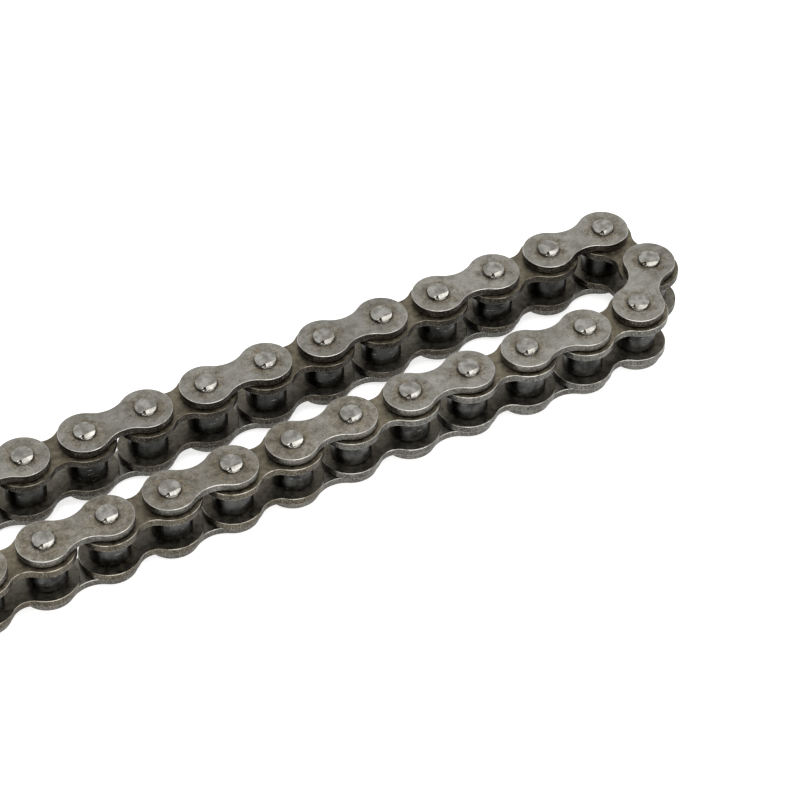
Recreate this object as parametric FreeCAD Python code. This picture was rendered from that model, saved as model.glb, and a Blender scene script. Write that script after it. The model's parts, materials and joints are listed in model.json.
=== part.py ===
"""Half inch pitch roller chain, laid on its side in a hairpin.

The pins stand upright, so every link turns about +Z. The upper strand runs along X at +Y, turns at the +X end
and comes back as the lower strand. The links are numbered from the free end of the upper strand. Odd links are
inner links, of two plates and two bushes with a roller on each. Even links are outer links, of two plates and
two pins. The chain rests on its pin ends at z = 0, with the origin under the middle of its outline.
"""
import FreeCAD, Part
import math
import os

os.makedirs("parts", exist_ok=True)

# Driving dimensions in millimetres
PITCH = 12.7  # from one pin to the next
INNER_WIDTH = 6.35  # clear width between the inner plates, which a sprocket's tooth enters
PIN_D = 3.96
BUSH_WALL = 0.8
ROLLER_WALL = 0.975
ROLLER_EDGE = 0.4  # rounding of a roller's outer edges
INNER_PLATE_T = 1.5
OUTER_PLATE_T = 1.5
OUTER_SETBACK = 0.8  # how far an outer plate's rounded end lies inside the inner plate's
INNER_WAIST_CUT = 2.4  # how deep each long edge of an inner plate is waisted
OUTER_WAIST_CUT = 2.0  # the same for an outer plate
PIN_HEAD_RISE = 0.75  # how far a pin end stands out of its plate

# Each pin end is staked: four slanted facets leave a square flat, and push the metal out over the plate
STAKE_FLAT = 1.45  # from the pin's axis to the side of the flat
STAKE_ANGLE = 48.0  # slope of a facet in degrees
STAKE_SPREAD = 0.1  # how far the staked end is wider than the pin, all round

# Clearances in millimetres
LINK_END_GAP = 0.9  # between the rounded ends of two inner links in line
PIN_RUN = 0.05  # radial, pin in bush
ROLLER_RUN = 0.08  # radial, roller on bush
ROLLER_END_PLAY = 0.12  # at each end of a roller
SIDE_PLAY = 0.4  # between an inner plate and the outer plate over it

# How the chain lies. A bend is a clockwise turn in degrees at a pin, seen from above, and other pins are straight
LINK_COUNT = 27
TURN_LINK = 14
BENDS = {12: 76.9, 13: 55.9, 14: 44.8, 15: 5.3, 17: -1.7, 18: -0.6, 19: -2.0, 20: 1.4}

# Sizes that follow
PIN_R = PIN_D / 2
BUSH_BORE_R = PIN_R + PIN_RUN
BUSH_R = BUSH_BORE_R + BUSH_WALL
ROLLER_BORE_R = BUSH_R + ROLLER_RUN
ROLLER_R = ROLLER_BORE_R + ROLLER_WALL
ROLLER_LENGTH = INNER_WIDTH - 2 * ROLLER_END_PLAY
BUSH_LENGTH = INNER_WIDTH + 2 * INNER_PLATE_T
INNER_END_R = (PITCH - LINK_END_GAP) / 2
OUTER_END_R = INNER_END_R - OUTER_SETBACK
OUTER_GAP = BUSH_LENGTH + 2 * SIDE_PLAY  # clear width between the outer plates
SHANK_LENGTH = OUTER_GAP + 2 * OUTER_PLATE_T
PIN_LENGTH = SHANK_LENGTH + 2 * PIN_HEAD_RISE
MID_Z = PIN_LENGTH / 2  # the chain's middle plane, as high as half a pin
STAKED_R = PIN_R + STAKE_SPREAD
FACET_RUN = PIN_HEAD_RISE / math.tan(math.radians(STAKE_ANGLE))

UP = FreeCAD.Vector(0, 0, 1)


def plate(end_r, waist_cut, thickness, hole_r):
    """A waisted link plate along X from one pin hole at the origin to the next at one pitch, standing on z = 0."""
    half = PITCH / 2
    waist = end_r - waist_cut
    # The waist is an arc that meets both rounded ends smoothly
    waist_r = (half**2 + waist**2 - end_r**2) / (2 * waist_cut)
    reach = end_r / (end_r + waist_r)
    meet_x = half * reach
    meet_y = (waist + waist_r) * reach
    ends = {side: FreeCAD.Vector(meet_x, side * meet_y) for side in (-1, 1)}
    far_ends = {side: FreeCAD.Vector(PITCH - meet_x, side * meet_y) for side in (-1, 1)}
    outline = Part.Wire(
        [
            Part.Arc(ends[1], FreeCAD.Vector(-end_r, 0), ends[-1]).toShape(),
            Part.Arc(ends[-1], FreeCAD.Vector(half, -waist), far_ends[-1]).toShape(),
            Part.Arc(far_ends[-1], FreeCAD.Vector(PITCH + end_r, 0), far_ends[1]).toShape(),
            Part.Arc(far_ends[1], FreeCAD.Vector(half, waist), ends[1]).toShape(),
        ]
    )
    body = Part.Face(outline).extrude(UP * thickness)
    for x in (0, PITCH):
        body = body.cut(Part.makeCylinder(hole_r, thickness, FreeCAD.Vector(x, 0, 0)))
    return body


def tube(outer_r, bore_r, length):
    """A plain sleeve about +Z with its middle at the origin."""
    base = UP * (-length / 2)
    return Part.makeCylinder(outer_r, length, base).cut(Part.makeCylinder(bore_r, length, base))


def roller():
    """A sleeve with rounded outer edges, turned from its half section."""
    half = ROLLER_LENGTH / 2
    flat_r = ROLLER_R - ROLLER_EDGE
    wall_top = half - ROLLER_EDGE
    slant = ROLLER_EDGE * math.sqrt(0.5)
    lower_mid = FreeCAD.Vector(flat_r + slant, 0, -wall_top - slant)
    upper_mid = FreeCAD.Vector(flat_r + slant, 0, wall_top + slant)
    corners = [
        FreeCAD.Vector(ROLLER_BORE_R, 0, -half),
        FreeCAD.Vector(flat_r, 0, -half),
        FreeCAD.Vector(ROLLER_R, 0, -wall_top),
        FreeCAD.Vector(ROLLER_R, 0, wall_top),
        FreeCAD.Vector(flat_r, 0, half),
        FreeCAD.Vector(ROLLER_BORE_R, 0, half),
    ]
    section = Part.Wire(
        [
            Part.makeLine(corners[0], corners[1]),
            Part.Arc(corners[1], lower_mid, corners[2]).toShape(),
            Part.makeLine(corners[2], corners[3]),
            Part.Arc(corners[3], upper_mid, corners[4]).toShape(),
            Part.makeLine(corners[4], corners[5]),
            Part.makeLine(corners[5], corners[0]),
        ]
    )
    return Part.Face(section).revolve(FreeCAD.Vector(), UP, 360)


def square(half_side, z):
    """A square wire about the Z axis."""
    corners = [FreeCAD.Vector(x * half_side, y * half_side, z) for x, y in ((-1, -1), (1, -1), (1, 1), (-1, 1))]
    return Part.makePolygon(corners + corners[:1])


def staked_end():
    """The end of a pin above its plate, on z = 0: a short round stub cut back by four slanted facets."""
    stub = Part.makeCylinder(STAKED_R, PIN_HEAD_RISE)
    stake = Part.makeLoft([square(STAKE_FLAT + FACET_RUN, 0), square(STAKE_FLAT, PIN_HEAD_RISE)], True, True)
    return stub.common(stake)


def pin():
    """A pin with both ends staked, its middle at the origin."""
    shank = Part.makeCylinder(PIN_R, SHANK_LENGTH, UP * (-SHANK_LENGTH / 2))
    upper = staked_end()
    upper.translate(UP * (SHANK_LENGTH / 2))
    lower = upper.copy()
    lower.rotate(FreeCAD.Vector(), FreeCAD.Vector(1, 0, 0), 180)
    return shank.fuse([upper, lower]).removeSplitter()


def moved(shape, x=0, z=0):
    """A copy of the shape, shifted along a link or up."""
    copy = shape.copy()
    copy.translate(FreeCAD.Vector(x, 0, z))
    return copy


def plate_pair(shape, gap, thickness):
    """The lower and the upper plate of a link, with a clear gap between them about z = 0."""
    return [moved(shape, z=-gap / 2 - thickness), moved(shape, z=gap / 2)]


def lay_out():
    """The pin points in the part's own frame, and the direction of each link in degrees."""
    points = [FreeCAD.Vector()]
    headings = []
    heading = 0.0
    for number in range(1, LINK_COUNT + 1):
        step = FreeCAD.Vector(math.cos(math.radians(heading)), math.sin(math.radians(heading)), 0)
        points.append(points[-1] + step * PITCH)
        headings.append(heading)
        heading -= BENDS.get(number, 0.0)
    # Every pin point carries the rounded end of an inner link, so the outline's middle is the points' middle
    middle = FreeCAD.Vector(
        (min(p.x for p in points) + max(p.x for p in points)) / 2,
        (min(p.y for p in points) + max(p.y for p in points)) / 2,
        -MID_Z,
    )
    return [p - middle for p in points], headings


def save(name, solids, number=None):
    """Writes the solids of one node, set along link number if they are drawn along X."""
    shape = solids[0].copy() if len(solids) == 1 else Part.Compound([s.copy() for s in solids])
    if number is not None:
        shape.rotate(FreeCAD.Vector(), UP, headings[number - 1])
        shape.translate(points[number - 1])
    shape.exportStep(f"parts/{name}.step")


points, headings = lay_out()

inner_plates = plate_pair(plate(INNER_END_R, INNER_WAIST_CUT, INNER_PLATE_T, BUSH_R), INNER_WIDTH, INNER_PLATE_T)
outer_plates = plate_pair(plate(OUTER_END_R, OUTER_WAIST_CUT, OUTER_PLATE_T, PIN_R), OUTER_GAP, OUTER_PLATE_T)
bush = tube(BUSH_R, BUSH_BORE_R, BUSH_LENGTH)
bushes = [bush, moved(bush, x=PITCH)]
staked_pin = pin()
pins = [staked_pin, moved(staked_pin, x=PITCH)]
one_roller = roller()

for number in range(1, LINK_COUNT + 1):
    if number == 1:
        # The free end of the upper strand, with its open bush as a node of its own
        save("inner_link_01", [*inner_plates, bushes[1]], number)
        save("end_bush_upper", [bushes[0]], number)
    elif number == LINK_COUNT:
        save(f"inner_link_{number:02d}", [*inner_plates, bushes[0]], number)
        save("end_bush_lower", [bushes[1]], number)
    elif number == TURN_LINK:
        # The link that the rest of the chain is hung from has each of its pieces as a node of its own
        save("turn_link_lower_plate", [outer_plates[0]], number)
        save("turn_link_upper_plate", [outer_plates[1]], number)
        save("turn_link_first_pin", [pins[0]], number)
        save("turn_link_second_pin", [pins[1]], number)
    elif number % 2:
        save(f"inner_link_{number:02d}", [*inner_plates, *bushes], number)
    else:
        save(f"outer_link_{number:02d}", [*outer_plates, *pins], number)

for number, point in enumerate(points, start=1):
    placed = one_roller.copy()
    placed.translate(point)
    save(f"roller_{number:02d}", [placed])
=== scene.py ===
# %% [markdown]
# A roller chain lies on its side, folded into a narrow hairpin. Its pins stand upright, so the side plates
# are seen from above, the staked pin ends look up at us, and the dark rollers show in the gaps between the
# plates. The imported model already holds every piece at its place. It could be shown as it is, but its edges
# are sharp and it has no steel. So this script models each kind of piece once, with its finish, and sets a
# copy at every place.

# %% Load the model
import bpy
import json
import math
from mathutils import Matrix, Vector


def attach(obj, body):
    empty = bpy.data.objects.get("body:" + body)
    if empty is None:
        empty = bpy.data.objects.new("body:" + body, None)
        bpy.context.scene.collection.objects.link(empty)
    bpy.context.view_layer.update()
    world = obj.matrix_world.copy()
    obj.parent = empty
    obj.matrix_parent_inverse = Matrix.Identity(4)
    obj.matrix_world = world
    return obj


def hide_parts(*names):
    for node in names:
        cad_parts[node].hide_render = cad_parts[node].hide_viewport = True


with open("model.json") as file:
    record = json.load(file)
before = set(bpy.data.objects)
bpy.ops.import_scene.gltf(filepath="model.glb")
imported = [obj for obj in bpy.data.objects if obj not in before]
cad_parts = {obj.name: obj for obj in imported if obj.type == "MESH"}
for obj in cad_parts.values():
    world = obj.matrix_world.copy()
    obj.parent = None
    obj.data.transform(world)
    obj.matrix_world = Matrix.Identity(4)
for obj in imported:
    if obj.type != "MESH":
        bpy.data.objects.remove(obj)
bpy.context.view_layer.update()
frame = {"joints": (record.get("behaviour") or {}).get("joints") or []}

# %% [markdown]
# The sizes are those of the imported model, a chain of half inch pitch. They could be measured on its nodes,
# but a list of named sizes is easier to read and to set against a real chain. Blender works in metres here,
# and the one number `MM` turns millimetres into them.

# %% Sizes of the chain
MM = 0.001
PITCH = 12.7 * MM
INNER_WIDTH = 6.35 * MM
PLATE_T = 1.5 * MM
PIN_R = 1.98 * MM
BUSH_BORE_R = 2.03 * MM
BUSH_R = 2.83 * MM
ROLLER_R = 3.885 * MM
ROLLER_WALL = 0.975 * MM
ROLLER_LENGTH = 6.11 * MM
INNER_END_R = 5.9 * MM
INNER_WAIST_CUT = 2.4 * MM
OUTER_END_R = 5.1 * MM
OUTER_WAIST_CUT = 2.0 * MM
SIDE_PLAY = 0.4 * MM
HEAD_RISE = 0.75 * MM
BUSH_LENGTH = INNER_WIDTH + 2 * PLATE_T
SHANK_LENGTH = BUSH_LENGTH + 2 * SIDE_PLAY + 2 * PLATE_T
MID_Z = SHANK_LENGTH / 2 + HEAD_RISE
print("height over the pin ends", round(2 * MID_Z / MM, 2), "mm")

# %% [markdown]
# The pins stand on one line, with a bend at some of them. Their places could be worked out again from the
# bends. The model's own joints are safer: every roller turns about a pin or an open bush, so the rollers'
# joints lie on that line. Link 1 runs from the first point to the second. Odd links are inner links, and
# even ones are outer links.

# %% Read where the links lie
TURN_LINK = 14
spins = sorted((j for j in frame["joints"] if j["name"].startswith("roller_")), key=lambda j: j["name"])
points = [Vector(j["pos_m"]) for j in spins]
LINKS = len(points) - 1


def heading(link):
    """The direction of a link, as an angle about +Z from +X."""
    run = points[link] - points[link - 1]
    return math.atan2(run.y, run.x)


def body_of_link(link):
    """The name of the CAD body that a link is."""
    if link == TURN_LINK:
        return "turn_link"
    return f"inner_link_{link:02d}" if link % 2 else f"outer_link_{link:02d}"


print("links", LINKS, "first point", [round(v / MM, 1) for v in points[0]])

# %% [markdown]
# The photo was taken through a long lens from the front left, 45 degrees up, with the camera less than a
# degree out of level. A camera can be set by trial, but this one was fitted to the pin ends and the rims of
# the plates. A Track To constraint would aim it and lose the small roll, so its three directions are
# written into its matrix. It comes first, so that each piece can be looked at as it is made.

# %% Set the camera
EYE = Vector((-183.509, -359.027, 420.655)) * MM
TARGET = Vector((24.37, -11.094, 14.519)) * MM
ROLL = math.radians(0.827)
LENS = 137.94
back = (EYE - TARGET).normalized()
level_right = Vector((0, 0, 1)).cross(back).normalized()
level_up = back.cross(level_right)
right = level_right * math.cos(ROLL) + level_up * math.sin(ROLL)
up = back.cross(right)
camera_data = bpy.data.cameras.new("camera")
camera_data.lens = LENS
camera_data.sensor_width = 36.0
camera_data.clip_start = 0.01
camera = bpy.data.objects.new("camera", camera_data)
camera.matrix_world = Matrix.Translation(EYE) @ Matrix((right, up, back)).transposed().to_4x4()
bpy.context.collection.objects.link(camera)
bpy.context.scene.camera = camera
print("camera distance", round((EYE - TARGET).length, 3), "m")

# %% [markdown]
# A finish in Blender is a small tree of nodes. A photo of steel could be wrapped round the pieces instead,
# but it would bring its own light and show where it repeats. A pattern that is calculated has neither
# fault. Written in full, a node takes several lines, so one helper adds it and joins its inputs. The others
# make what steel needs most: a cloudy noise, a stretched range, a blend of two colours, and sums.

# %% Helpers that add nodes
def join(tree, socket, value):
    """Gives a socket a value, or links it to the output of another node."""
    if isinstance(value, bpy.types.NodeSocket):
        tree.links.new(value, socket)
    else:
        socket.default_value = value


def add_node(tree, kind, inputs=None, **settings):
    """Adds a node with its settings. An input goes by its name, or by its number where names repeat."""
    made = tree.nodes.new(kind)
    for name, value in settings.items():
        setattr(made, name, value)
    for name, value in (inputs or {}).items():
        join(tree, made.inputs[name], value)
    return made


def noise(tree, where, per_metre, detail, roughness):
    """A cloudy pattern from 0 to 1, with so many patches per metre."""
    inputs = {"Vector": where, "Scale": per_metre, "Detail": detail, "Roughness": roughness}
    return add_node(tree, "ShaderNodeTexNoise", inputs).outputs["Fac"]


def spread(tree, value, low, high, to_low=0.0, to_high=1.0):
    """Stretches a value from one range to another, smoothly."""
    inputs = {"Value": value, "From Min": low, "From Max": high, "To Min": to_low, "To Max": to_high}
    return add_node(tree, "ShaderNodeMapRange", inputs, interpolation_type="SMOOTHSTEP").outputs["Result"]


def blend_colours(tree, amount, first, second, kind="MIX"):
    """Mixes two colours. A Mix node keeps its colour sockets at numbers 6 and 7."""
    inputs = {0: amount, 6: first, 7: second}
    return add_node(tree, "ShaderNodeMix", inputs, data_type="RGBA", blend_type=kind).outputs[2]


def calculate(tree, operation, first, second):
    """One sum on two numbers."""
    return add_node(tree, "ShaderNodeMath", {0: first, 1: second}, operation=operation).outputs[0]


def plus(tree, first, second):
    """The two values together."""
    return calculate(tree, "ADD", first, second)


def times(tree, first, second):
    """One value times the other."""
    return calculate(tree, "MULTIPLY", first, second)


def rgb(red, green, blue):
    """A colour as a picture gives it, from 0 to 255, as the linear values that Blender works in."""
    parts = (red / 255, green / 255, blue / 255)
    return (*(p / 12.92 if p <= 0.04045 else ((p + 0.055) / 1.055) ** 2.4 for p in parts), 1.0)


print("a grey of 128 is", round(rgb(128, 128, 128)[0], 3), "in linear light")

# %% [markdown]
# Every piece is bare steel, so every finish starts from the same shader: fully metallic, with a colour, a
# roughness and a little relief. Scratches and turning marks are long in one direction. They could be drawn
# as thin bands, which look too even, so a noise is squeezed along one axis and only its peaks are kept. The
# noise follows the place on the chain, so no two copies of a plate or a roller look alike.

# %% Steel and its scratches
def steel(name):
    """A new finish with its tree, its shader and the place of each point on the chain."""
    material = bpy.data.materials.new(name)
    material.use_nodes = True
    tree = material.node_tree
    shader = tree.nodes["Principled BSDF"]
    shader.inputs["Metallic"].default_value = 1.0
    where = add_node(tree, "ShaderNodeTexCoord").outputs["Object"]
    return material, tree, shader, where


def dress(tree, shader, colour, roughness, height, depth):
    """Joins a finish's colour, roughness and relief to its shader."""
    bump = add_node(tree, "ShaderNodeBump", {"Height": height, "Strength": 1.0, "Distance": depth})
    join(tree, shader.inputs["Base Color"], colour)
    join(tree, shader.inputs["Roughness"], roughness)
    join(tree, shader.inputs["Normal"], bump.outputs["Normal"])


def squeeze(tree, where, scale, turn=(0, 0, 0)):
    """The place on the chain, turned and scaled, so that a noise on it comes out long or short."""
    inputs = {"Vector": where, "Rotation": turn, "Scale": scale}
    return add_node(tree, "ShaderNodeMapping", inputs).outputs["Vector"]


def lay_over(tree, colour, mask, strength, tint):
    """Lays a tint over a colour where a mask is high."""
    return blend_colours(tree, times(tree, mask, strength), colour, tint)


print("helpers for steel", [f.__name__ for f in (steel, dress, squeeze, lay_over)])

# %% [markdown]
# A side plate is blanked from cold rolled strip, which is grey with soft clouds, and one strip is a little
# paler than the next. A single colour would look like plastic. Two noises of different size blend a pale
# tone and a deep one, and a third, with patches about two links long, drifts along the chain and stands for
# the strips.

# %% Rolled steel
STRIP_PATCHES = 42.0


def rolled_steel(tree, where, mottle, pale, deep):
    """Clouds between two tones, and a drift from plate to plate."""
    clouds = noise(tree, where, 190.0, 4.0, 0.6)
    tone = plus(tree, times(tree, clouds, 0.5), times(tree, mottle, 0.5))
    colour = blend_colours(tree, spread(tree, tone, 0.33, 0.66), deep, pale)
    strip = spread(tree, noise(tree, where, STRIP_PATCHES, 1.0, 0.5), 0.36, 0.64, 0.86, 1.08)
    return blend_colours(tree, 1.0, colour, strip, "MULTIPLY")


print("a patch of the drift is about", round(1 / STRIP_PATCHES / PITCH, 1), "links long")

# %% [markdown]
# Oil creeps out along each pin, gathers dust and dries to a brown film: solid near the pin, and broken into
# specks further out. Right against the pin's head a nearly black collar is painted shadow of the head, with
# oil in it. A ring could be painted on each plate by hand. Instead the
# plate carries a flat map of itself, in centimetres from its first pin, and the distance to the nearer pin
# sets how much film is left. Noise is added before the range is stretched, which breaks the film's edge up
# and doesn't blur it.

# %% Oil film and painted shadow round the pins
CM = 0.01
BROWN_FILM = rgb(104, 91, 66)
HEAD_SHADOW_AND_OIL = rgb(44, 37, 27)


def distance_from_pins(tree):
    """How far a point of a plate is from the nearer of its two pins, in centimetres."""
    flat_map = add_node(tree, "ShaderNodeUVMap", uv_map="plate_map").outputs["UV"]
    near = []
    for pin_x in (0.0, PITCH / CM):
        inputs = {0: flat_map, 1: (pin_x, 0, 0)}
        apart = add_node(tree, "ShaderNodeVectorMath", inputs, operation="DISTANCE")
        near.append(apart.outputs["Value"])
    return calculate(tree, "MINIMUM", near[0], near[1])


def oil_film_and_head_shadow(tree, where, mottle, colour, stain, reach, amount):
    """Lays the film, and a painted shadow of the pin's head, over a colour. Returns the new colour, and how
    much film there is.
    """
    from_pin = distance_from_pins(tree)
    ring = spread(tree, from_pin, 0.18, reach, 1.0, 0.0)
    blotches = noise(tree, where, 430.0, 3.0, 0.65)
    specks = noise(tree, where, 2600.0, 3.0, 0.75)
    broken = plus(tree, times(tree, blotches, 2.3), times(tree, specks, 3.2))
    film = spread(tree, plus(tree, times(tree, ring, 0.85), broken), 2.9, 3.85)
    brown = blend_colours(tree, spread(tree, mottle, 0.4, 0.6), stain, BROWN_FILM)
    colour = lay_over(tree, colour, film, amount, brown)
    # A nearly black collar at the pin's head: painted shadow of the head, mixed with oil.
    shadow_and_oil_collar = times(tree, spread(tree, from_pin, 0.2, 0.27, 1.0, 0.0), spread(tree, specks, 0.2, 0.5))
    return lay_over(tree, colour, shadow_and_oil_collar, 0.85, HEAD_SHADOW_AND_OIL), film


print("second pin of a plate at", round(PITCH / CM, 2), "cm on its map")

# %% [markdown]
# Under the film the face keeps a fine even grain from the rolls. Handling adds small dark pits, pale
# hairlines in one direction and a few darker scores across them. Modelled in the mesh they would cost
# thousands of faces for marks thinner than a hair, so they are colour, and the grain and pits also a relief
# of a few thousandths of a millimetre.

# %% Marks of wear
HAIR_TURN = 0.6
SCORE_TURN = 2.1


def marks_of_wear(tree, where, colour, grain, pits):
    """Adds grain, pits, hairlines and scores to a colour."""
    speckle = spread(tree, grain, 0.3, 0.7, 0.84, 1.14)
    colour = blend_colours(tree, 1.0, colour, speckle, "MULTIPLY")
    colour = lay_over(tree, colour, pits, 0.6, rgb(38, 30, 22))
    along = squeeze(tree, where, scale=(1, 14, 1), turn=(0, 0, HAIR_TURN))
    hairs = spread(tree, noise(tree, along, 330.0, 2.0, 0.5), 0.68, 0.73)
    colour = lay_over(tree, colour, hairs, 0.25, rgb(190, 186, 176))
    across = squeeze(tree, where, scale=(1, 11, 1), turn=(0, 0, SCORE_TURN))
    scores = spread(tree, noise(tree, across, 210.0, 2.0, 0.5), 0.7, 0.73)
    return lay_over(tree, colour, scores, 0.4, rgb(62, 55, 42))


print("angle from hairlines to scores", round(math.degrees(SCORE_TURN - HAIR_TURN)), "degrees")

# %% [markdown]
# The faces differ over the chain, because oil and dust don't lie evenly, and in one place because of painted
# shade. Outer plates are the cleanest. On the far links of the lower strand the film reaches further and is
# darker. Inner plates are browner, and the lower ones, which lie in old oil at the floor of the space between
# the plates, are the darkest: their darker, greyer face is oil and painted shade. Four separate trees could
# be drawn and would have to be kept alike by hand. One function with other colours makes all four.

# %% Finish of a plate's face
def plate_face(name, pale, deep, stain, reach, amount):
    """Rolled steel with an oil film and marks of wear. The film reaches so many centimetres from a pin."""
    material, tree, shader, where = steel(name)
    mottle = noise(tree, where, 900.0, 3.0, 0.6)
    grain = noise(tree, where, 5200.0, 2.0, 0.7)
    pits = spread(tree, noise(tree, where, 1500.0, 1.0, 0.4), 0.76, 0.8)
    colour = rolled_steel(tree, where, mottle, pale, deep)
    colour, film = oil_film_and_head_shadow(tree, where, mottle, colour, stain, reach, amount)
    colour = marks_of_wear(tree, where, colour, grain, pits)
    dull = plus(tree, spread(tree, mottle, 0.3, 0.7, 0.34, 0.46), times(tree, film, 0.08))
    relief = calculate(tree, "SUBTRACT", plus(tree, grain, mottle), pits)
    dress(tree, shader, colour, dull, relief, 0.006 * MM)
    return material


outer_face = plate_face(
    "outer plate face", rgb(146, 144, 137), rgb(118, 115, 107), rgb(76, 65, 46), reach=0.52, amount=0.78
)
weathered_face = plate_face(
    "weathered plate face", rgb(147, 144, 136), rgb(116, 112, 102), rgb(68, 58, 42), reach=0.75, amount=0.7
)
inner_face = plate_face(
    "inner plate face", rgb(121, 114, 98), rgb(83, 77, 65), rgb(60, 50, 34), reach=0.6, amount=0.6
)
# The lower inner plates' face: oil, and painted shade of the space between the plates.
oily_and_shaded_face = plate_face(
    "oily and shaded plate face", rgb(118, 115, 106), rgb(76, 72, 63), rgb(52, 45, 34), reach=0.62, amount=0.7
)
print("plate faces", [m.name for m in (outer_face, weathered_face, inner_face, oily_and_shaded_face)])

# %% [markdown]
# The punch rounds a plate's rim and the wear of the chain polishes it, so it shows as a thin bright line. A
# bright line could be faked by a lighter colour alone. Here the rim is real rounding in the mesh with its own
# smooth steel, so the line moves with the light. Where oil lies thick, the same rim is brown and dull. On the
# upper strand the inner plates get a darker copy of the rim, which is painted shade.

# %% Finish of a plate's rim
def worn_rim(name, bright, oiled):
    """The polished rim, with stretches where the oil film is left."""
    material, tree, shader, where = steel(name)
    patches = noise(tree, where, 420.0, 3.0, 0.6)
    colour = blend_colours(tree, spread(tree, patches, 0.38, 0.6), oiled, bright)
    rough = spread(tree, noise(tree, where, 2500.0, 2.0, 0.5), 0.3, 0.7, 0.22, 0.36)
    dress(tree, shader, colour, rough, noise(tree, where, 3000.0, 2.0, 0.6), 0.004 * MM)
    return material


outer_rim = worn_rim("outer plate rim", rgb(184, 181, 175), rgb(144, 141, 135))
inner_rim = worn_rim("inner plate rim", rgb(184, 181, 173), rgb(124, 120, 111))
# A darker rim for the upper strand: painted shade.
upper_strand_shaded_rim = worn_rim("upper strand shaded plate rim", rgb(122, 116, 104), rgb(76, 70, 59))
stained_rim = worn_rim("stained plate rim", rgb(166, 160, 148), rgb(104, 97, 83))
print("rims", [m.name for m in (outer_rim, inner_rim, upper_strand_shaded_rim, stained_rim)])

# %% [markdown]
# Below the rim the wall is sheared: the punch tears the steel into grains that are drawn a little downwards,
# most of them dull and some that glint. The grains could be modelled, or left out, since the wall is only a
# few pixels high in the photo. But it is what shows best that the plate is blanked steel. So it gets a noise
# stretched upright for the grains, soft clouds, and bright specks on top, which are painted glints.

# %% Finish of a plate's wall
def sheared_wall(name, pale, deep):
    """The blanked edge of a plate, drawn downwards by the punch and torn into grains, with painted glints."""
    material, tree, shader, where = steel(name)
    torn = noise(tree, squeeze(tree, where, scale=(1, 1, 0.45)), 3600.0, 3.0, 0.7)
    clouds = noise(tree, where, 260.0, 2.0, 0.5)
    tone = plus(tree, times(tree, torn, 0.7), times(tree, clouds, 0.3))
    colour = blend_colours(tree, spread(tree, tone, 0.36, 0.66), deep, pale)
    # Bright specks: painted glints of light on the grains.
    painted_glints = spread(tree, noise(tree, where, 4300.0, 1.0, 0.5), 0.62, 0.7)
    colour = lay_over(tree, colour, painted_glints, 0.35, rgb(200, 196, 188))
    dress(tree, shader, colour, spread(tree, torn, 0.3, 0.7, 0.32, 0.5), torn, 0.016 * MM)
    return material


outer_wall = sheared_wall("outer plate wall", rgb(114, 112, 106), rgb(66, 64, 59))
inner_wall = sheared_wall("inner plate wall", rgb(116, 114, 108), rgb(56, 54, 50))
stained_wall = sheared_wall("stained plate wall", rgb(102, 96, 84), rgb(48, 43, 34))
# A darker wall for the upper strand: painted shade.
upper_strand_shaded_wall = sheared_wall("upper strand shaded plate wall", rgb(78, 73, 65), rgb(37, 33, 27))
print("walls", [m.name for m in (outer_wall, inner_wall, upper_strand_shaded_wall, stained_wall)])

# %% [markdown]
# A roller is hardened and nearly black under its oil, and smooth enough for a soft streak of light. On the
# upper strand the rollers get a darker copy of this steel, which is painted shade. A pin is ground steel,
# paler than the plates, and scratched at its ends. The nick in its end is torn and holds dirt. The bush is
# plain and mostly hidden. Each could have a tree of its own, but they differ only in tone and polish, so one
# function makes them all: clouds of two tones, fine rings about the upright axis from turning, and a few
# short scuffs.

# %% Finish of rollers, pins and bushes
def round_part(name, pale, deep, polish, ring_depth, scuffs, patches=330.0):
    """Turned or ground steel, with a range of roughness for its polish and a strength for its scuffs."""
    material, tree, shader, where = steel(name)
    rings = noise(tree, squeeze(tree, where, scale=(0.05, 0.05, 1.0)), 5200.0, 2.0, 0.5)
    clouds = noise(tree, where, patches, 3.0, 0.6)
    colour = blend_colours(tree, spread(tree, clouds, 0.35, 0.65), deep, pale)
    slanted = squeeze(tree, where, scale=(1, 1, 9), turn=(0.5, 0.3, 0.8))
    marks = spread(tree, noise(tree, slanted, 420.0, 2.0, 0.6), 0.66, 0.72)
    colour = lay_over(tree, colour, marks, scuffs, rgb(176, 174, 170))
    dress(tree, shader, colour, spread(tree, clouds, 0.3, 0.7, *polish), rings, ring_depth)
    return material


roller_steel = round_part(
    "roller steel", rgb(80, 80, 79), rgb(39, 39, 38), (0.24, 0.36), ring_depth=0.006 * MM, scuffs=0.6
)
# A darker copy for the rollers of the upper strand: painted shade.
upper_strand_shaded_roller_steel = round_part(
    "upper strand shaded roller steel", rgb(66, 66, 64), rgb(32, 32, 31), (0.24, 0.36), ring_depth=0.006 * MM, scuffs=0.6
)
pin_steel = round_part(
    "pin steel", rgb(163, 161, 155), rgb(124, 121, 114), (0.18, 0.28),
    ring_depth=0.005 * MM, scuffs=0.4, patches=700.0,
)
punched_steel = round_part(
    "punched steel", rgb(116, 107, 90), rgb(72, 64, 51), (0.42, 0.56),
    ring_depth=0.006 * MM, scuffs=0.1, patches=1100.0,
)
bush_steel = round_part(
    "bush steel", rgb(96, 92, 84), rgb(58, 55, 48), (0.3, 0.42), ring_depth=0.004 * MM, scuffs=0.2
)
print("rollers", [m.name for m in (roller_steel, upper_strand_shaded_roller_steel)])
print("pins and bushes", [m.name for m in (pin_steel, punched_steel, bush_steel)])

# %% [markdown]
# An operator works on everything that is selected, and the loaded nodes are, so modelling starts by
# selecting nothing. Modifiers could stay live on each piece. They are used as tools here and applied at
# once, so that a piece ends as a plain closed mesh that can be copied and measured. The last of them,
# Weighted Normal, keeps large faces flat to the eye and lets only the small roundings turn.

# %% Helpers for modelling
SHARP_ANGLE = math.radians(40)


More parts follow.
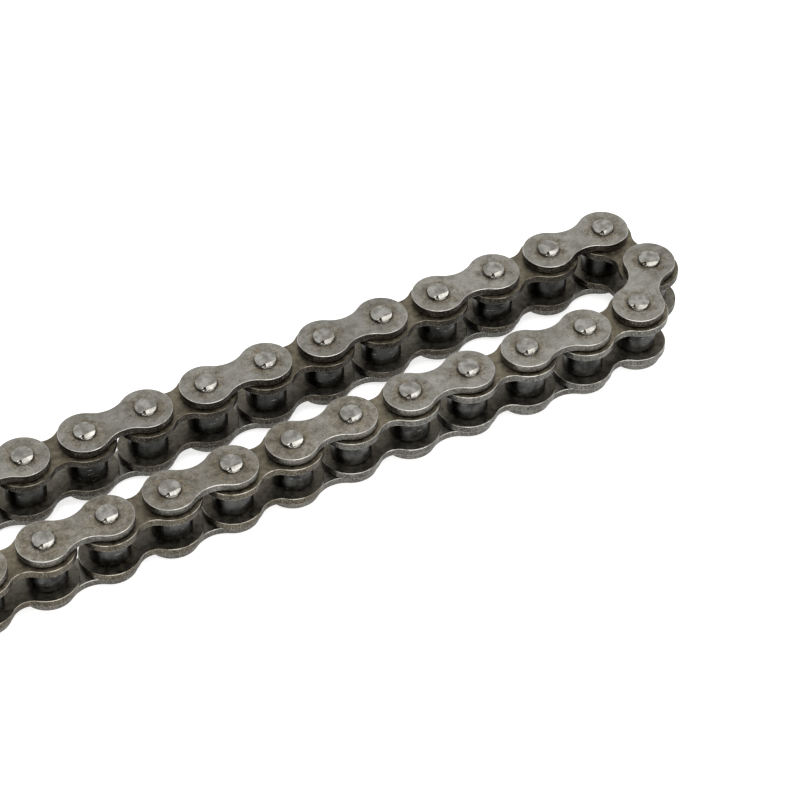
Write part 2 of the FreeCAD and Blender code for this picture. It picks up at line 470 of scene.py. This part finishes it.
def shape_with(piece, kind, **settings):
    """Adds a modifier to the active piece and applies it."""
    modifier = piece.modifiers.new(kind.title(), kind)
    for name, value in settings.items():
        setattr(modifier, name, value)
    bpy.ops.object.modifier_apply(modifier=modifier.name)


def round_edges(piece, width, segments, angle=SHARP_ANGLE):
    """Rounds the edges that are sharper than an angle."""
    shape_with(piece, "BEVEL", width=width, segments=segments, limit_method="ANGLE", angle_limit=angle)


def finish_surface(piece):
    """Smooth shading in which large flat faces stay flat."""
    bpy.ops.object.shade_smooth()
    shape_with(piece, "WEIGHTED_NORMAL", mode="FACE_AREA", weight=100, keep_sharp=False)


bpy.ops.object.select_all(action="DESELECT")
print("selected", len(bpy.context.selected_objects))
print("edges are rounded from", round(math.degrees(SHARP_ANGLE)), "degrees")

# %% [markdown]
# A plate's outline is four arcs that meet smoothly: two round ends and two waists. A curve or a boolean of
# circles could give it, but their points fall where the tool puts them. Here a single vertex is spun round
# the centre of each arc in turn, as a pair of compasses would draw it, so the steps of each arc are known.

# %% Draw the outline of a plate
END_STEPS = 60
WAIST_STEPS = 14


def draw_arc(centre, degrees, steps):
    """Carries the selected vertex anticlockwise round a centre. Spin itself turns clockwise."""
    bpy.ops.mesh.spin(steps=steps, angle=-math.radians(degrees), center=centre, axis=(0, 0, 1))


def draw_outline(end_r, waist_cut):
    """Draws a closed outline in edit mode, for pin holes at the origin and one pitch along X."""
    half = PITCH / 2
    waist = end_r - waist_cut
    waist_r = (half**2 + waist**2 - end_r**2) / (2 * waist_cut)
    centre_y = waist + waist_r
    reach = end_r / (end_r + waist_r)
    meet = Vector((half * reach, centre_y * reach, 0))
    end_turn = 360 - 2 * math.degrees(math.atan2(meet.y, meet.x))
    waist_turn = 2 * math.degrees(math.atan2(half - meet.x, centre_y - meet.y))
    bpy.ops.mesh.primitive_plane_add(size=MM, location=(PITCH - meet.x, -meet.y, 0))
    bpy.ops.object.transform_apply(location=True)
    bpy.ops.object.mode_set(mode="EDIT")
    bpy.ops.mesh.select_all(action="SELECT")
    bpy.ops.mesh.merge(type="CENTER")
    draw_arc((PITCH, 0, 0), end_turn, END_STEPS)
    draw_arc((half, centre_y, 0), -waist_turn, WAIST_STEPS)
    draw_arc((0, 0, 0), end_turn, END_STEPS)
    draw_arc((half, -centre_y, 0), -waist_turn, WAIST_STEPS)
    bpy.ops.mesh.select_all(action="SELECT")
    bpy.ops.mesh.remove_doubles(threshold=0.001 * MM)
    print("waist radius", round(waist_r / MM, 2), "mm, ends turn", round(end_turn, 1), "degrees")


print("steps of an outline", 2 * END_STEPS + 2 * WAIST_STEPS)

# %% [markdown]
# The plate's holes hold its pins or bushes. They could be cut out of the finished plate with a boolean. It
# is simpler to draw them as circles inside the outline, fill the area between, and extrude the sheet to the
# plate's thickness. The edges are rounded last. Then each face gets one of three finishes, by the way it
# looks: the flat faces look up or down, the walls look sideways, and the rims lie in between. The flat map
# is written as well.

# %% Model a plate
HOLE_SIDES = 40
RIM_ROUNDING = 0.11 * MM
FLAT_ABOVE = 0.99
UPRIGHT_BELOW = 0.12


def dress_plate(piece, hole_r, finishes):
    """Gives a plate its face, rim and wall finish, and its flat map in centimetres from the first pin."""
    for finish in finishes:
        piece.data.materials.append(finish)
    flat_map = piece.data.uv_layers.new(name="plate_map")
    for polygon in piece.data.polygons:
        from_hole = min((polygon.center.xy - Vector((x, 0))).length for x in (0, PITCH))
        tilt = abs(polygon.normal.z)
        in_wall = tilt < UPRIGHT_BELOW or from_hole < hole_r + RIM_ROUNDING
        polygon.material_index = 0 if tilt > FLAT_ABOVE else 2 if in_wall else 1
        for loop in polygon.loop_indices:
            spot = piece.data.vertices[piece.data.loops[loop].vertex_index].co
            flat_map.data[loop].uv = (spot.x / CM, spot.y / CM)


def model_plate(name, end_r, waist_cut, hole_r, finishes):
    """A waisted plate along X from its first pin hole, at the origin, standing on z = 0."""
    draw_outline(end_r, waist_cut)
    for x in (0, PITCH):
        bpy.ops.mesh.primitive_circle_add(vertices=HOLE_SIDES, radius=hole_r, location=(x, 0, 0))
    bpy.ops.mesh.select_all(action="SELECT")
    bpy.ops.mesh.fill()
    bpy.ops.mesh.select_all(action="SELECT")
    bpy.ops.mesh.extrude_region_move(TRANSFORM_OT_translate={"value": (0, 0, PLATE_T)})
    bpy.ops.mesh.select_all(action="SELECT")
    bpy.ops.mesh.normals_make_consistent(inside=False)
    bpy.ops.object.mode_set(mode="OBJECT")
    piece = bpy.context.object
    piece.name = piece.data.name = name
    round_edges(piece, RIM_ROUNDING, segments=3)
    finish_surface(piece)
    dress_plate(piece, hole_r, finishes)
    piece.select_set(False)
    print(name, "faces", len(piece.data.polygons), "length", round(piece.dimensions.x / MM, 2), "mm")
    return piece


outer_plate = model_plate(
    "outer_plate_pattern", OUTER_END_R, OUTER_WAIST_CUT, PIN_R, (outer_face, outer_rim, outer_wall)
)
inner_plate = model_plate(
    "inner_plate_pattern", INNER_END_R, INNER_WAIST_CUT, BUSH_R, (inner_face, inner_rim, inner_wall)
)

# %% [markdown]
# A roller is a sleeve that turns on a bush, and a bush is a sleeve pressed into two plates. A half section
# spun about its axis would make one, and so would a cylinder with a smaller one cut out. An open cylinder
# whose wall Solidify adds is shorter: the inside stays parallel to the outside, and Bevel rounds the four
# edges.

# %% Model the sleeves
def model_sleeve(name, outer_r, wall, length, rounding, sides, finish):
    """A sleeve about +Z with its middle at the origin."""
    bpy.ops.mesh.primitive_cylinder_add(
        vertices=sides, radius=outer_r, depth=length, end_fill_type="NOTHING"
    )
    piece = bpy.context.object
    piece.name = piece.data.name = name
    shape_with(piece, "SOLIDIFY", thickness=wall, offset=-1.0, use_even_offset=True)
    round_edges(piece, rounding, segments=4)
    finish_surface(piece)
    piece.data.materials.append(finish)
    piece.select_set(False)
    print(name, "faces", len(piece.data.polygons), "outside", round(piece.dimensions.x / MM, 2), "mm")
    return piece


roller = model_sleeve(
    "roller_pattern", ROLLER_R, ROLLER_WALL, ROLLER_LENGTH,
    rounding=0.35 * MM, sides=96, finish=roller_steel,
)
bush = model_sleeve(
    "bush_pattern", BUSH_R, BUSH_R - BUSH_BORE_R, BUSH_LENGTH,
    rounding=0.08 * MM, sides=64, finish=bush_steel,
)

# %% [markdown]
# A pin is pressed through the plates and its ends are then struck, so that the metal swells over the plate
# and can't slip back. A turned shape could be spun from its outline. A cylinder is quicker: its end face is
# extruded in small steps, and each new ring is scaled to the width that the pin has there. The first ring
# only steps inwards, and leaves the thin dark line that shows between a pin's end and its plate.

# %% Swell the ends of a pin
PIN_SIDES = 96
HEAD_RINGS = ((0.0, 1.8), (0.1, 1.8), (0.13, 2.03), (0.27, 2.07), (0.16, 2.06), (0.08, 1.98))


def swell_end(piece, side):
    """Draws one end of a pin up ring by ring. A ring is a step in height and a radius, in millimetres."""
    bpy.ops.mesh.select_all(action="DESELECT")
    bpy.ops.object.mode_set(mode="OBJECT")
    for polygon in piece.data.polygons:
        polygon.select = polygon.normal.z * side > 0.9
    bpy.ops.object.mode_set(mode="EDIT")
    radius = PIN_R
    for rise, wanted in HEAD_RINGS:
        bpy.ops.mesh.extrude_region_move(TRANSFORM_OT_translate={"value": (0, 0, side * rise * MM)})
        factor = wanted * MM / radius
        bpy.ops.transform.resize(value=(factor, factor, 1.0))
        radius = wanted * MM


print("rings rise", round(sum(rise for rise, _ in HEAD_RINGS), 2), "of", round(HEAD_RISE / MM, 2), "mm")

# %% [markdown]
# The tool that strikes a pin leaves a small nick at the edge of its end, always toward the same side. A
# boolean with a small cylinder could cut such a notch, but it can leave slivers that Bevel rounds badly.
# Nine columns of vertices are pushed inwards instead, the middle one furthest, and the mesh stays closed.

# %% Press a nick into a pin's end
NICK_DIRECTION = math.radians(-123.75)
NICK_PUSHES = (0.05, 0.2, 0.46, 0.66, 0.74, 0.66, 0.46, 0.2, 0.05)
COLUMN_REACH = 0.02 * MM
NICK_FROM = SHANK_LENGTH / 2 + 0.05 * MM


def press_nick(piece, side):
    """Pushes a notch into the edge of one end. A push is in millimetres, for one column of vertices."""
    for column, push in enumerate(NICK_PUSHES):
        turn = NICK_DIRECTION + (column - len(NICK_PUSHES) // 2) * math.tau / PIN_SIDES
        out = Vector((math.cos(turn), math.sin(turn), 0))
        bpy.ops.mesh.select_all(action="DESELECT")
        bpy.ops.object.mode_set(mode="OBJECT")
        for vertex in piece.data.vertices:
            aside = (vertex.co.xy.to_3d() - out * vertex.co.xy.length).length
            vertex.select = aside < COLUMN_REACH and vertex.co.z * side > NICK_FROM
        bpy.ops.object.mode_set(mode="EDIT")
        bpy.ops.transform.translate(value=-out * push * MM)


print("nick is", len(NICK_PUSHES), "columns wide and", max(NICK_PUSHES), "mm deep")

# %% [markdown]
# The blow also leaves slanted facets. The punch stood a little to one side, so the facet toward us is deep,
# in two planes, and catches the light, and the others are shallow. They could be modelled by moving
# vertices. Bisect with fill is a straight cut, as the punch makes. Its threshold has to be far under a
# millimetre here: the default is 0.1 mm, which on a pin this small joins points that should stay apart and
# leaves holes.

# %% Cut a facet
FACET_SLOPE = math.radians(48)
CUT_THRESHOLD = 0.0001 * MM


def cut_facet(side, direction, start):
    """Cuts a slanted facet that starts so many millimetres off the axis, toward a direction in degrees."""
    turn = math.radians(direction)
    out = Vector((math.cos(turn), math.sin(turn), 0))
    normal = out * math.sin(FACET_SLOPE) + Vector((0, 0, side * math.cos(FACET_SLOPE)))
    corner = out * start * MM + Vector((0, 0, side * (SHANK_LENGTH / 2 + HEAD_RISE)))
    bpy.ops.mesh.select_all(action="SELECT")
    bpy.ops.mesh.bisect(
        plane_co=corner, plane_no=normal, use_fill=True, clear_outer=True, threshold=CUT_THRESHOLD
    )


print("facets slope", round(math.degrees(FACET_SLOPE)), "degrees")

# %% [markdown]
# The cuts leave some vertices almost on top of each other, which Bevel rounds badly, so near ones are
# merged. Which of two is kept depends on their order, and rings and cuts leave another order each run. The
# merge could be left out, or each cut placed so that it misses every vertex. Sorting is simpler: by
# distance from a point off every axis, the order is the same each time. The cursor is that point, and goes
# back to the origin, because new primitives are added there.

# %% Put the vertices in one order
SORT_POINT = Vector((1.3, 0.7, 2.9)) * MM


def sort_vertices():
    """Sorts the whole mesh by its distance from the sort point, and leaves it selected."""
    cursor = bpy.context.scene.cursor
    cursor.location = SORT_POINT
    bpy.ops.mesh.select_all(action="SELECT")
    bpy.ops.mesh.sort_elements(type="CURSOR_DISTANCE", elements={"VERT", "EDGE", "FACE"})
    cursor.location = (0, 0, 0)


print("sorted from", [round(v / MM, 1) for v in SORT_POINT], "mm")

# %% [markdown]
# Now the steps come together. No two pins were struck quite alike. A mesh drawn for each of the 26 would be
# a waste, and three patterns with other facets are enough, because the two pins of a link then differ. The
# faces inside the nick get the dirty steel. They are the steep ones near the nick's direction, which leaves
# the bright facet beside it clean.

# %% Model the pins
PIN_ROUNDING = 0.06 * MM
PIN_SHARP_ANGLE = math.radians(24)
MERGE_DISTANCE = 0.02 * MM
NICK_HALF_ANGLE = math.radians(15)
NICK_INNER_R = 1.2 * MM
STEEP_BELOW = 0.55


def is_in_nick(centre, normal):
    """Whether a face belongs to the nick, by its place and by how steep it is."""
    aside = abs(math.atan2(centre.y, centre.x) - NICK_DIRECTION)
    near_edge = NICK_INNER_R < centre.xy.length < PIN_R
    steep = abs(normal.z) < STEEP_BELOW
    return aside < NICK_HALF_ANGLE and near_edge and abs(centre.z) > SHANK_LENGTH / 2 and steep


def model_pin(name, facets):
    """A pin about +Z with its middle at the origin. A facet is its direction and where it starts."""
    bpy.ops.mesh.primitive_cylinder_add(vertices=PIN_SIDES, radius=PIN_R, depth=SHANK_LENGTH)
    piece = bpy.context.object
    piece.name = piece.data.name = name
    bpy.ops.object.mode_set(mode="EDIT")
    bpy.ops.mesh.select_mode(type="FACE")
    for side in (1, -1):
        swell_end(piece, side)
    bpy.ops.mesh.select_mode(type="VERT")
    for side in (1, -1):
        press_nick(piece, side)
    for side in (1, -1):
        for direction, start in facets:
            cut_facet(side, direction, start)
    sort_vertices()
    bpy.ops.mesh.remove_doubles(threshold=MERGE_DISTANCE)
    bpy.ops.mesh.normals_make_consistent(inside=False)
    bpy.ops.object.mode_set(mode="OBJECT")
    round_edges(piece, PIN_ROUNDING, segments=2, angle=PIN_SHARP_ANGLE)
    finish_surface(piece)
    piece.data.materials.append(pin_steel)
    piece.data.materials.append(punched_steel)
    for polygon in piece.data.polygons:
        polygon.material_index = 1 if is_in_nick(polygon.center, polygon.normal) else 0
    piece.select_set(False)
    print(name, "faces", len(piece.data.polygons), "length", round(piece.dimensions.z / MM, 2), "mm")
    return piece


pins = [
    model_pin("pin_pattern_a", ((-85, 1.27), (-91, 1.25), (-165, 1.74), (110, 1.88), (22, 1.9))),
    model_pin("pin_pattern_b", ((-82, 1.36), (-88, 1.35), (-158, 1.8), (88, 1.86), (10, 1.92))),
    model_pin("pin_pattern_c", ((-87, 1.22), (-93, 1.2), (-170, 1.7), (100, 1.84), (36, 1.88))),
]

# %% [markdown]
# Each pattern is now copied to its places. A linked copy would share one mesh and be moved as an object.
# Here a copy gets its own mesh, moved inside the object, so the object itself stays at the origin as the
# CAD nodes do, and the noises of its steel fall elsewhere on every copy. A copy rides on its link and
# stands for the CAD node that holds its solid.

# %% Helpers for placing
PLATE_FINISHES = ("face", "rim", "wall")


def place(pattern, name, point, z, turn, body, node):
    """Copies a pattern, sets its mesh at a point and a height, ties it to its body and hides its CAD node."""
    copy = bpy.data.objects.new(name, pattern.data.copy())
    copy.data.name = name
    copy.data.transform(Matrix.Translation((point.x, point.y, z)) @ Matrix.Rotation(turn, 4, "Z"))
    bpy.context.collection.objects.link(copy)
    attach(copy, body)
    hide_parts(node)
    return copy


def refinish(piece, **finishes):
    """Gives a copied plate other finishes on its face, rim or wall."""
    for part, finish in finishes.items():
        piece.data.materials[PLATE_FINISHES.index(part)] = finish


print("finishes of a plate", PLATE_FINISHES)

# %% [markdown]
# An inner link has two plates, and two bushes pressed into them. Its lower plate gets a darker face, from oil
# and from painted shade. The rims and walls follow the strand: darker on the upper one, which is painted
# shade, and stained on the far links of the lower one. Patterns of their own could be modelled for these
# plates. The shape is the same, so other materials on a copy are enough.

# %% Place an inner link
FIRST_STAINED_LINK = 20
INNER_PLATE_Z = {"lower": MID_Z - BUSH_LENGTH / 2, "upper": MID_Z + INNER_WIDTH / 2}
OPEN_BUSHES = {(1, "first"): "end_bush_upper", (LINKS, "second"): "end_bush_lower"}


def place_inner_link(link, start, end):
    """Two plates and two bushes. The open bush at each end of the chain is a CAD node of its own."""
    body = body_of_link(link)
    for level, z in INNER_PLATE_Z.items():
        name = f"link_{link:02d}_{level}_plate"
        plate = place(inner_plate, name, start, z, heading(link), body, body)
        # The lower plate's darker face is oil and painted shade of the space between the plates.
        if level == "lower":
            refinish(plate, face=oily_and_shaded_face)
        # Upper strand: darker rim and wall, which are painted shade.
        if link < TURN_LINK:
            refinish(plate, rim=upper_strand_shaded_rim, wall=upper_strand_shaded_wall)
        elif link >= FIRST_STAINED_LINK:
            refinish(plate, rim=stained_rim, wall=stained_wall)
    for order, point in (("first", start), ("second", end)):
        node = OPEN_BUSHES.get((link, order), body)
        place(bush, f"link_{link:02d}_{order}_bush", point, MID_Z, 0.0, body, node)


print("inner plates at", {level: round(z / MM, 3) for level, z in INNER_PLATE_Z.items()}, "mm")

# %% [markdown]
# An outer link has two plates outside the inner ones, and two staked pins. The pins could be turned with
# their links, or by chance. In the photo those of both strands point the same way, and those of the turn
# link are turned a little, so they are set like that. The three patterns take turns along the chain, and
# the two pins of a link are never twins.

# %% Place an outer link
OUTER_PLATE_Z = {"lower": HEAD_RISE, "upper": MID_Z + BUSH_LENGTH / 2 + SIDE_PLAY}
TURN_TWIST = math.radians(-29)


def place_outer_link(link, start, end):
    """Two plates and two pins. At the turn link each of the four is a CAD node of its own."""
    body = body_of_link(link)
    at_turn = link == TURN_LINK
    for level, z in OUTER_PLATE_Z.items():
        node = f"turn_link_{level}_plate" if at_turn else body
        name = f"link_{link:02d}_{level}_plate"
        plate = place(outer_plate, name, start, z, heading(link), body, node)
        # Upper plates of the upper strand: darker wall, which is painted shade.
        if level == "upper" and link <= TURN_LINK:
            refinish(plate, wall=upper_strand_shaded_wall)
        if link >= FIRST_STAINED_LINK:
            refinish(plate, face=weathered_face)
    for order, point in (("first", start), ("second", end)):
        node = f"turn_link_{order}_pin" if at_turn else body
        pattern = pins[(link // 2 + (order == "second")) % len(pins)]
        twist = TURN_TWIST if at_turn else 0.0
        place(pattern, f"link_{link:02d}_{order}_pin", point, MID_Z, twist, body, node)


print("outer plates at", {level: round(z / MM, 3) for level, z in OUTER_PLATE_Z.items()}, "mm")

# %% [markdown]
# With both kinds of link ready, one loop lays the chain, and a second one sets a roller on every bush. An
# Array modifier on a curve would bend the plates round the turn, and each link has to be a piece of its own
# that moves. The patterns have done their work then, and are removed.

# %% Lay the chain
for link in range(1, LINKS + 1):
    place_link = place_inner_link if link % 2 else place_outer_link
    place_link(link, points[link - 1], points[link])
for number, point in enumerate(points, start=1):
    node = f"roller_{number:02d}"
    placed = place(roller, f"link_{node}", point, MID_Z, 0.0, node, node)
    # Rollers of the upper strand: darker steel, which is painted shade.
    if number < TURN_LINK:
        placed.data.materials[0] = upper_strand_shaded_roller_steel
for pattern in (outer_plate, inner_plate, roller, bush, *pins):
    bpy.data.objects.remove(pattern)

# %% [markdown]
# The chain lies on a plain pale floor, as for a catalogue picture. A strong lamp would turn the floor white
# and bleach the steel with it. So the floor adds a glow of its own through Light Path. The camera sees it,
# and the steel mirrors it as it would any white floor, while matt things get no light from it. Under the
# glow the floor is matt, and keeps the chain's shadow.

# %% Floor
FLOOR_SIZE = 4.0
FLOOR_GREY = (0.8, 0.8, 0.8, 1.0)
FLOOR_GLOW = 0.68
WHITE = (1.0, 1.0, 1.0, 1.0)


def seen_directly(tree):
    """1 for what is seen, straight, in steel or through glass, and 0 for the light on matt things."""
    rays = add_node(tree, "ShaderNodeLightPath").outputs
    looked_at = calculate(tree, "MAXIMUM", rays["Is Camera Ray"], rays["Is Glossy Ray"])
    return calculate(tree, "MAXIMUM", looked_at, rays["Is Transmission Ray"])


bpy.ops.mesh.primitive_plane_add(size=FLOOR_SIZE, location=(0, 0, 0))
floor = bpy.context.object
floor.name = "floor"
floor_material = bpy.data.materials.new("pale floor")
floor_material.use_nodes = True
tree = floor_material.node_tree
tree.nodes.clear()
matt = add_node(tree, "ShaderNodeBsdfDiffuse", {"Color": FLOOR_GREY}).outputs[0]
glow = add_node(tree, "ShaderNodeEmission", {"Color": WHITE, "Strength": FLOOR_GLOW}).outputs[0]
both = add_node(tree, "ShaderNodeAddShader", {0: matt, 1: glow}).outputs[0]
glow_shows = seen_directly(tree)
surface = add_node(tree, "ShaderNodeMixShader", {0: glow_shows, 1: matt, 2: both}).outputs[0]
add_node(tree, "ShaderNodeOutputMaterial", {"Surface": surface})
floor.data.materials.append(floor_material)
print("floor", floor.name, "side", FLOOR_SIZE, "m")

# %% [markdown]
# Beyond the floor lies the backdrop, which in a studio is a white sheet. A picture of a studio could light
# the scene, but one even colour is plainer, and needs no file. By the same rule as the glow, it shows full
# white to the camera and in the steel, and is less than half as strong for all other light.

# %% Backdrop
WORLD_FILL = 0.45
world = bpy.data.worlds.new("studio")
bpy.context.scene.world = world
world.use_nodes = True
tree = world.node_tree
inputs = {"Value": seen_directly(tree), "To Min": WORLD_FILL, "To Max": 1.0}
strength = add_node(tree, "ShaderNodeMapRange", inputs)
join(tree, tree.nodes["Background"].inputs["Strength"], strength.outputs["Result"])
tree.nodes["Background"].inputs["Color"].default_value = WHITE
print("world", world.name, "fill", WORLD_FILL)

# %% [markdown]
# A sun or a point lamp would draw hard shadows and small hot spots on steel. Two large soft lamps stand for
# a studio's softboxes: one hangs over the chain and a little in front of it, and lights the plates. The
# other stands low in front, so that it mirrors in what leans toward us: the deep facets of the pins and the
# rims of the plates.

# %% Lamps
def soft_lamp(name, where, width, height, power):
    """A lamp the shape of a softbox that looks at the origin."""
    data = bpy.data.lights.new(name, "AREA")
    data.shape = "RECTANGLE"
    data.size = width
    data.size_y = height
    data.energy = power
    lamp = bpy.data.objects.new(name, data)
    lamp.location = where
    lamp.rotation_euler = Vector(where).to_track_quat("Z", "Y").to_euler()
    bpy.context.collection.objects.link(lamp)
    return lamp


overhead_lamp = soft_lamp("overhead lamp", (0.0, -0.1, 0.95), width=0.9, height=0.7, power=5.0)
front_lamp = soft_lamp("front lamp", (0.06, -0.994, 0.671), width=1.5, height=0.7, power=6.8)
bpy.context.scene.view_settings.view_transform = "Standard"
print("lamps", [lamp.name for lamp in (overhead_lamp, front_lamp)])
